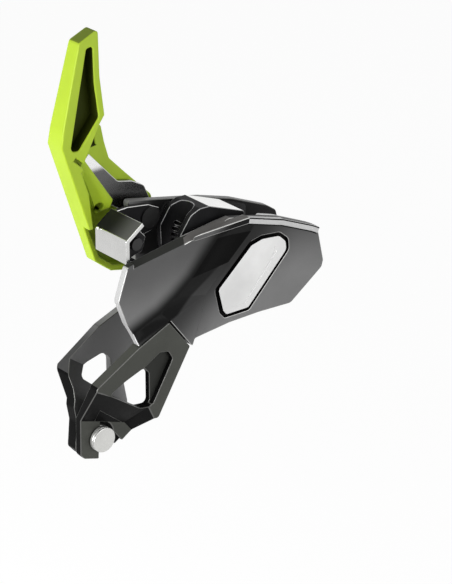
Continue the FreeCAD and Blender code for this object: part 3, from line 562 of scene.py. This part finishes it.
# Outlines in X and Z around groups of faces: the insert's seat, the leg's window and the handle's pocket,
# notch and slot, which take painted shade, and the band, whose rounded edges keep its painted dark
# reflection
SEAT_AREA = [(46, 34), (92, 34), (92, 68), (46, 68)]
BAND_AREA = [(8, 36), (28, 41), (46, 48), (73, 71), (73, 75), (57, 75), (34, 56), (8, 45)]
WINDOW_AREA = [(-3.5, 22), (13, 34), (22, 34), (29, 29), (18, 9), (12, 10)]
POCKET_AREA = [(9.5, 148), (11.5, 150.5), (14.5, 150.5), (14.8, 134), (16.6, 120), (5.5, 108), (0.6, 109)]
NOTCH_AREA = [(17.9, 110.4), (19.2, 106.1), (15.8, 105.9)]
SLOT_AREA = [(2.9, 105.9), (4.3, 107.3), (8.5, 103.4), (7.1, 102.0)]


def plate_end(middle):
    """Strip of the plate's front between the end of the rail and the plate's own edge."""
    return middle.x > RIGHT_END and middle.z > RIGHT_END_LEVEL and middle.y > PLATE_FACE - 0.05


def plate_rule(middle, normal, slot):
    """Rope side plate: satin rail and left end, painted shade in the seat of the insert, on the inlet's
    edge and on the rail's top at its left end; rounded edges in the band keep its painted dark reflection.
    """
    spot = (middle.x, middle.z)
    if middle.y < RAIL_FACE + 0.3 or middle.y < PLATE_FACE - 0.05 and normal.z > 0.6:
        return 3
    if normal.x < -0.5 and middle.x < LEFT_END:
        return 3
    if PLATE_FACE + 0.05 < middle.y < SEAT_FLOOR + 0.1 and inside(spot, SEAT_AREA):
        return 2
    if middle.x < INLET_END and middle.z > INLET_LEVEL and normal.z > 0.1 and normal.y < 0.5:
        return 4 if slot == 0 else 0
    if middle.x < RAIL_SHADE_END and middle.z > RAIL_SHADE_LEVEL and normal.z > 0.3 and slot == 0:
        return 5
    if slot == 1 and normal.y < -0.3 and inside(spot, BAND_AREA):
        return 0
    return None


def insert_rule(middle, normal, slot):
    """Insert: painted shade on the flange that holds it, dark as the groove around it."""
    if middle.y > PLATE_FACE + 0.35:
        return 2
    return None


def leg_rule(middle, normal, slot):
    """Loop side leg: painted shade on the sweep, behind the hook, on the sides and in the window, a painted
    highlight on a face above the hook, and painted shade in the sunk pocket.
    """
    along = LEG_X * middle.x + LEG_Z * middle.z
    if slot == 1:
        return None
    if along < HOOK_END and middle.y > HOOK_FACE + 0.2:
        return 2
    if along < SWEEP_END and -0.97 < normal.y < -0.2 and middle.y < HOOK_FACE + 0.2:
        return 3 if normal.y < -0.93 and along < FACET_END else 2
    if along < POCKET_END and abs(normal.y) < 0.5:
        return 2
    if abs(normal.y) < 0.5 and inside((middle.x, middle.z), WINDOW_AREA):
        return 2
    if abs(middle.y - SUNK_FACE) < 0.2 and normal.y < -0.9:
        return 4
    return None


def back_rule(middle, normal, slot):
    """Back plate: painted shade on the sides of the foot and window, and on the inner face, darker inside
    the body.
    """
    if slot == 0 and middle.y < BACK_INNER - 0.1 and abs(normal.y) < 0.6:
        return 2
    if slot == 0 and normal.y < -0.9 and abs(middle.y - BACK_INNER) < 0.1:
        return 3
    return None


def grip_rule(middle, normal, slot):
    """Handle: painted shade in the pocket and notch, on the top of the tip and in the slot."""
    spot = (middle.x, middle.z)
    if GRIP_FACE + 0.6 < middle.y < POCKET_FLOOR + 0.2 and inside(spot, POCKET_AREA):
        return 2
    if middle.z > TIP_HEIGHT and normal.z > 0.7 and slot == 0:
        return 3
    if inside(spot, NOTCH_AREA) and middle.y < GRIP_BACK - 0.4:
        return 2
    if inside(spot, SLOT_AREA) and slot == 0 and GRIP_FACE + 0.1 < middle.y < GRIP_FACE + 1.5:
        return 3
    return None


def yoke_rule(middle, normal, slot):
    """Yoke: bright outer face and edges, painted shade on the top and inner faces."""
    if slot == 1 or normal.x < -0.6:
        return 1
    if normal.y < -0.9 and middle.y < YOKE_NEAR:
        return 1
    if normal.z > 0.4 and normal.x < 0:
        return 2
    return None


def cam_rule(middle, normal, slot):
    """Cam: painted highlight on the top face, painted shade on the flanks and rounded edges."""
    if slot == 0 and normal.z > 0.6 and normal.x > 0.1 and abs(normal.y) < 0.3 and middle.x > FACET_START:
        return 2
    return None


# Operators, one for each piece or group

class BELAY_OT_rope_side_plate(bpy.types.Operator):
    """Rope side plate with its band of painted dark reflection and rounded edges"""
    bl_idname = "belay.rope_side_plate"
    bl_label = "Rope side plate"

    def execute(self, context):
        coats = FINISHES
        piece = dressed("rope_side_plate", "rope_plate_shell", context.scene.belay_sizes.plate_edge,
                        [coats["satin_plate"], coats["wear_and_highlight_plate"], coats["shade_and_reflection_black"], coats["satin_rail"],
                         coats["sunk_plate_shade"], coats["rail_shade"]], narrow=plate_end)
        paint(piece, plate_rule)
        place(piece, "rope_gate", "satin_plate", "rope_side_plate")
        return {"FINISHED"}


# Painted shade lines along the rail, the upper one in the groove at its top and the lower one a painted
# shadow under it, in millimetres: how far below its top edge, how far out and how deep in
UPPER_DROP = 0.15
UPPER_PROUD = 0.04
LOWER_DROP = 2.5
LOWER_PROUD = 0.05
LOWER_HEIGHT = 0.9
STRIP_ROOT = 0.2

# Shift to the left for each millimetre of drop
RAIL_LEAN = 0.04


class BELAY_OT_rail_shade_lines(bpy.types.Operator):
    """Painted shade and painted shadow lines along the rail on the top edge of the rope side plate"""
    bl_idname = "belay.rail_lines"
    bl_label = "Rail lines"

    def execute(self, context):
        height = context.scene.belay_sizes.rail_shade_line / MM
        upper = strip("rail_upper_shade_line", TOP_RIGHT, UPPER_DROP, height, RAIL_FACE, UPPER_PROUD)
        lower = strip("rail_lower_shadow_line", TOP_RIGHT, LOWER_DROP, LOWER_HEIGHT, PLATE_FACE, LOWER_PROUD)
        for piece in (upper, lower):
            piece.data.materials.append(FINISHES["shade_and_reflection_black"])
            place(piece, "rope_gate", "satin_plate")
        return {"FINISHED"}


def strip(name, points, drop, height, face, proud):
    """Thin closed strip below a line, proud of a face that looks forward."""
    root, front = face + STRIP_ROOT, face - proud
    work = bmesh.new()
    rings = []
    for x, z in points:
        top, bottom = z - drop, z - drop - height
        corners = []
        for depth, level in ((root, top), (front, top), (front, bottom), (root, bottom)):
            corners.append(work.verts.new(Vector((x - RAIL_LEAN * drop, depth, level)) * MM))
        rings.append(corners)
    for first, second in zip(rings, rings[1:]):
        for i in range(4):
            work.faces.new((first[i], first[(i + 1) % 4], second[(i + 1) % 4], second[i]))
    work.faces.new(rings[0][::-1])
    work.faces.new(rings[-1])
    bmesh.ops.recalc_face_normals(work, faces=work.faces)
    mesh = bpy.data.meshes.new(name)
    work.to_mesh(mesh)
    work.free()
    return link_object(name, mesh)


class BELAY_OT_pivot_cover(bpy.types.Operator):
    """Silver insert over the pivot"""
    bl_idname = "belay.pivot_cover"
    bl_label = "Silver insert"

    def execute(self, context):
        coats = FINISHES
        piece = dressed("pivot_cover", "silver_insert", context.scene.belay_sizes.insert_edge,
                        [coats["insert"], coats["insert"], coats["shade_and_reflection_black"]], weld=0.1 * MM)
        paint(piece, insert_rule)
        place(piece, "rope_gate", "bright_insert", "pivot_cover")
        return {"FINISHED"}


class BELAY_OT_loop_side_leg(bpy.types.Operator):
    """Front leg with its hook, and painted shade on its sweep and in its sunk pocket"""
    bl_idname = "belay.loop_side_leg"
    bl_label = "Front leg"

    def execute(self, context):
        coats = FINISHES
        piece = dressed("loop_side_leg", "front_leg", context.scene.belay_sizes.plate_edge,
                        [coats["dark_plate"], coats["wear_and_highlight_dark"], coats["shade_and_reflection_black"], coats["facet"],
                         coats["sunk_plate_shade"]])
        paint(piece, leg_rule)
        place(piece, "loop_gate", "dark_plate", "loop_side_leg")
        return {"FINISHED"}


class BELAY_OT_back_plate(bpy.types.Operator):
    """Back plate, back leg and foot"""
    bl_idname = "belay.back_plate"
    bl_label = "Back plate"

    def execute(self, context):
        coats = FINISHES
        piece = dressed("back_plate", "back_shell", context.scene.belay_sizes.plate_edge,
                        [coats["back_painted_highlight"], coats["wear_and_highlight_dark"], coats["shade_and_reflection_black"], coats["inner_painted_shade"]])
        paint(piece, back_rule)
        place(piece, "frame", "dark_plate", "back_plate")
        return {"FINISHED"}


class BELAY_OT_handle(bpy.types.Operator):
    """Lime handle and the steel arm inside it"""
    bl_idname = "belay.handle"
    bl_label = "Handle"

    def execute(self, context):
        coats = FINISHES
        sizes = context.scene.belay_sizes
        grip = dressed("handle_grip", "lime_handle", sizes.grip_edge,
                       [coats["lime"], coats["lime"], coats["lime_pocket_shade"], coats["lime_shade"]],
                       steps=3, weld=0.2 * MM)
        paint(grip, grip_rule)
        place(grip, "handle", "lime_plastic", "handle_grip")
        arm = dressed("lever_arm", "steel_arm", sizes.steel_edge, [coats["arm_painted_highlight"], coats["steel"]])
        place(arm, "handle", "bright_steel", "lever_arm")
        return {"FINISHED"}


class BELAY_OT_yoke(bpy.types.Operator):
    """Sheet steel yoke beside the inlet"""
    bl_idname = "belay.yoke"
    bl_label = "Yoke"

    def execute(self, context):
        coats = FINISHES
        piece = dressed("release_yoke", "steel_yoke", context.scene.belay_sizes.steel_edge,
                        [coats["steel_painted_shade"], coats["steel"], coats["yoke_top_painted_shade"]])
        paint(piece, yoke_rule)
        place(piece, "release", "bright_steel", "release_yoke")
        return {"FINISHED"}


class BELAY_OT_cam(bpy.types.Operator):
    """Steel cam with a painted highlight on its top face"""
    bl_idname = "belay.cam"
    bl_label = "Cam"

    def execute(self, context):
        coats = FINISHES
        piece = dressed("friction_cam", "steel_cam", context.scene.belay_sizes.steel_edge,
                        [coats["steel_painted_shade"], coats["steel_shade"], coats["steel_painted_highlight"]])
        paint(piece, cam_rule)
        place(piece, "cam", "liner_steel", "friction_cam")
        return {"FINISHED"}


class BELAY_OT_locking_pin(bpy.types.Operator):
    """Locking pin with its polished head, and its spring"""
    bl_idname = "belay.locking_pin"
    bl_label = "Locking pin"

    def execute(self, context):
        coats = FINISHES
        piece = dressed("locking_pin", "pin_button", context.scene.belay_sizes.steel_edge,
                        [coats["pin_steel"], coats["steel"]])
        place(piece, "lock_button", "bright_steel", "locking_pin")
        spring = link_object("pin_spring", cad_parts["locking_pin_spring"].data.copy())
        spring.data.materials.clear()
        spring.data.materials.append(coats["spring_steel"])
        place(spring, "frame", "spring_steel", "locking_pin_spring")
        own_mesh(spring)
        return {"FINISHED"}


# Rivet ends on the back plate, in millimetres
RIVET_PLACES = [(90.0, 47.0), (95.0, 53.0), (35.5, 47.0), (43.5, 44.0)]
RIVET_RADIUS = 2.5
PLATE_BACK = 13.6


def dome_tree(material):
    """Geometry Nodes: a domed rivet end on each point of the input mesh."""
    tree = bpy.data.node_groups.new("rivet_ends", "GeometryNodeTree")
    tree.interface.new_socket("Geometry", in_out="INPUT", socket_type="NodeSocketGeometry")
    for label in ("Radius", "Height"):
        tree.interface.new_socket(label, in_out="INPUT", socket_type="NodeSocketFloat")
    tree.interface.new_socket("Geometry", in_out="OUTPUT", socket_type="NodeSocketGeometry")
    nodes, links = tree.nodes, tree.links
    entry = nodes.new("NodeGroupInput")
    out = nodes.new("NodeGroupOutput")
    ball = nodes.new("GeometryNodeMeshUVSphere")
    ball.inputs["Segments"].default_value = 32
    ball.inputs["Rings"].default_value = 16
    ball.inputs["Radius"].default_value = 1.0
    size = nodes.new("ShaderNodeCombineXYZ")
    squashed = nodes.new("GeometryNodeTransform")
    scatter = nodes.new("GeometryNodeInstanceOnPoints")
    real = nodes.new("GeometryNodeRealizeInstances")
    coat = nodes.new("GeometryNodeSetMaterial")
    coat.inputs["Material"].default_value = material
    links.new(entry.outputs["Radius"], size.inputs["X"])
    links.new(entry.outputs["Height"], size.inputs["Y"])
    links.new(entry.outputs["Radius"], size.inputs["Z"])
    links.new(ball.outputs["Mesh"], squashed.inputs["Geometry"])
    links.new(size.outputs["Vector"], squashed.inputs["Scale"])
    links.new(entry.outputs["Geometry"], scatter.inputs["Points"])
    links.new(squashed.outputs["Geometry"], scatter.inputs["Instance"])
    links.new(scatter.outputs["Instances"], real.inputs["Geometry"])
    links.new(real.outputs["Geometry"], coat.inputs["Geometry"])
    links.new(coat.outputs["Geometry"], out.inputs["Geometry"])
    return tree


def set_input(modifier, tree, label, value):
    """Set a modifier's input by its socket's identifier."""
    for socket in tree.interface.items_tree:
        if socket.name == label and socket.in_out == "INPUT":
            modifier[socket.identifier] = value


class BELAY_OT_rivets(bpy.types.Operator):
    """Domed ends of the rivets on the back plate"""
    bl_idname = "belay.rivets"
    bl_label = "Rivet ends"

    def execute(self, context):
        mesh = bpy.data.meshes.new("rivet_points")
        mesh.from_pydata([Vector((x, PLATE_BACK, z)) * MM for x, z in RIVET_PLACES], [], [])
        piece = link_object("rivet_ends", mesh)
        tree = dome_tree(FINISHES["steel"])
        modifier = piece.modifiers.new("rivets", "NODES")
        modifier.node_group = tree
        set_input(modifier, tree, "Radius", RIVET_RADIUS * MM)
        set_input(modifier, tree, "Height", context.scene.belay_sizes.rivet_dome)
        with_modifiers_applied(piece)
        piece.data.shade_smooth()
        place(piece, "frame", "bright_steel")
        return {"FINISHED"}


# CAD nodes that keep their shape, by finish
INNER_FINISHES = {
    "steel": ["plate_pivot_axle", "plate_pivot_sleeve", "pivot_washer", "cam_axle", "nose_rivets",
              "anvil_rivets", "liner_rivets"],
    "inner_steel": ["release_axle", "yoke_spring_post", "back_wear_plate", "grip_rivets"],
    "liner_steel": ["brake_side_liner", "brake_nose", "pinch_anvil"],
    "spring_steel": ["pivot_retaining_ring", "handle_retaining_ring", "pin_clip", "cam_return_spring",
                     "yoke_return_spring"],
    "bearing": ["rope_plate_bush", "leg_pivot_bush", "cam_bush", "release_axle_bush", "lever_bush"],
    "dark_plate": ["pin_cap"],
}


class BELAY_OT_inner_parts(bpy.types.Operator):
    """Finishes of the pieces that keep their CAD shape"""
    bl_idname = "belay.inner_parts"
    bl_label = "Inner parts"

    def execute(self, context):
        for coat, names in INNER_FINISHES.items():
            for name in names:
                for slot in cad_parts[name].material_slots:
                    slot.material = FINISHES[coat]
        return {"FINISHED"}


# Stage, camera and light

# The camera: what it looks at, its angles to the left and up in degrees, its lens in millimetres
TARGET = Vector((52.84, -14.89, 48.38)) * MM
AZIMUTH = 40.0
ELEVATION = 25.0
DISTANCE = 1.0
LENS = 163.4
SENSOR = 36.0
NEAREST = 0.01

# The floor
FLOOR_DROP = 60.0 * MM
FLOOR_REACH = 3.0
FLOOR_TONE = 0.8

# How much of the floor glows to the camera, and how strongly
BACKDROP_SHARE = 0.85
BACKDROP_GLOW = 1.08

# Strength of the world's light, and for each lamp its direction, distance, diameter and power
WORLD_LIGHT = 0.36
LAMPS = {
    "key": ((-1.0, -0.1, 0.02), 0.5, 0.3, 2.3),
    "fill": ((0.3, -1.0, 0.05), 1.1, 0.8, 4.6),
}


def toward_camera():
    side, up = radians(AZIMUTH), radians(ELEVATION)
    return Vector((-sin(side) * cos(up), -cos(side) * cos(up), sin(up)))


def backdrop_material(colour):
    """Pale surface that shows white to the camera and keeps the shadow."""
    item = bpy.data.materials.new("backdrop")
    item.use_nodes = True
    nodes = item.node_tree.nodes
    nodes.clear()
    output = nodes.new("ShaderNodeOutputMaterial")
    diffuse = nodes.new("ShaderNodeBsdfDiffuse")
    diffuse.inputs["Color"].default_value = (FLOOR_TONE, FLOOR_TONE, FLOOR_TONE, 1)
    glow = nodes.new("ShaderNodeEmission")
    glow.inputs["Color"].default_value = (*colour, 1)
    glow.inputs["Strength"].default_value = BACKDROP_GLOW
    mix = nodes.new("ShaderNodeMixShader")
    share = node(item, "ShaderNodeMath", operation="MULTIPLY")
    share.inputs[1].default_value = BACKDROP_SHARE
    link(item, seen_directly(item), share.inputs[0])
    link(item, share.outputs[0], mix.inputs[0])
    link(item, diffuse.outputs[0], mix.inputs[1])
    link(item, glow.outputs[0], mix.inputs[2])
    link(item, mix.outputs[0], output.inputs["Surface"])
    return item


def seen_directly(item):
    """1 for camera, glossy and transmission rays."""
    path = node(item, "ShaderNodeLightPath")
    first = node(item, "ShaderNodeMath", operation="MAXIMUM")
    second = node(item, "ShaderNodeMath", operation="MAXIMUM")
    link(item, path.outputs["Is Camera Ray"], first.inputs[0])
    link(item, path.outputs["Is Glossy Ray"], first.inputs[1])
    link(item, first.outputs[0], second.inputs[0])
    link(item, path.outputs["Is Transmission Ray"], second.inputs[1])
    return second.outputs[0]


def set_world(colour):
    """White background, which lights the object less strongly than it shows."""
    world = bpy.data.worlds.new("studio")
    world.use_nodes = True
    bpy.context.scene.world = world
    nodes = world.node_tree.nodes
    nodes.clear()
    output = nodes.new("ShaderNodeOutputWorld")
    background = nodes.new("ShaderNodeBackground")
    background.inputs["Color"].default_value = (*colour, 1)
    level = nodes.new("ShaderNodeMapRange")
    level.inputs["To Min"].default_value = WORLD_LIGHT
    level.inputs["To Max"].default_value = 1.0
    link(world, seen_directly(world), level.inputs["Value"])
    link(world, level.outputs["Result"], background.inputs["Strength"])
    link(world, background.outputs[0], output.inputs["Surface"])


def area_light(name, direction, distance, size, power):
    """Soft light that looks at the middle of the object."""
    data = bpy.data.lights.new(name, "AREA")
    data.shape = "DISK"
    data.size = size
    data.energy = power
    lamp = bpy.data.objects.new(name, data)
    bpy.context.scene.collection.objects.link(lamp)
    middle = (CAD_BOX[0] + CAD_BOX[1]) / 2
    lamp.location = middle + Vector(direction).normalized() * distance
    lamp.rotation_euler = (middle - lamp.location).to_track_quat("-Z", "Y").to_euler()


class BELAY_OT_stage(bpy.types.Operator):
    """Pale floor, white background, soft lights and the camera"""
    bl_idname = "belay.stage"
    bl_label = "Stage"

    def execute(self, context):
        colour = tuple(context.scene.belay_colours.backdrop)
        set_world(colour)
        level = CAD_BOX[0].z - FLOOR_DROP
        mesh = bpy.data.meshes.new("floor")
        near, far = -FLOOR_REACH, FLOOR_REACH
        corners = [(near, near, level), (far, near, level), (far, far, level), (near, far, level)]
        mesh.from_pydata(corners, [], [(0, 1, 2, 3)])
        mesh.materials.append(backdrop_material(colour))
        link_object("floor", mesh)
        for name, (direction, distance, size, power) in LAMPS.items():
            area_light(name, direction, distance, size, power)
        data = bpy.data.cameras.new("camera")
        data.lens = LENS
        data.sensor_width = SENSOR
        data.clip_start = NEAREST
        camera = bpy.data.objects.new("camera", data)
        context.scene.collection.objects.link(camera)
        back = toward_camera()
        camera.location = TARGET + back * DISTANCE
        camera.rotation_euler = back.to_track_quat("Z", "Y").to_euler()
        context.scene.camera = camera
        context.scene.view_settings.view_transform = "Standard"
        return {"FINISHED"}


class BELAY_PT_panel(bpy.types.Panel):
    """Panel that lists the pieces"""
    bl_idname = "BELAY_PT_panel"
    bl_label = "Belay device"
    bl_space_type = "VIEW_3D"
    bl_region_type = "UI"
    bl_category = "Belay"

    def draw(self, context):
        for made in OPERATORS:
            self.layout.operator(made.bl_idname)


OPERATORS = [BELAY_OT_stage, BELAY_OT_rope_side_plate, BELAY_OT_rail_shade_lines, BELAY_OT_pivot_cover,
             BELAY_OT_loop_side_leg, BELAY_OT_back_plate, BELAY_OT_handle, BELAY_OT_yoke, BELAY_OT_cam,
             BELAY_OT_locking_pin, BELAY_OT_rivets, BELAY_OT_inner_parts]
CLASSES = [BelaySizes, BelayColours] + OPERATORS + [BELAY_PT_panel]
FINISHES = {}


def register():
    for item in CLASSES:
        bpy.utils.register_class(item)
    bpy.types.Scene.belay_sizes = PointerProperty(type=BelaySizes)
    bpy.types.Scene.belay_colours = PointerProperty(type=BelayColours)


def unregister():
    del bpy.types.Scene.belay_sizes
    del bpy.types.Scene.belay_colours
    for item in reversed(CLASSES):
        bpy.utils.unregister_class(item)


def main():
    register()
    FINISHES.update(finishes())
    for made in OPERATORS:
        group, name = made.bl_idname.split(".")
        getattr(getattr(bpy.ops, group), name)()


if __name__ == "__main__":
    main()
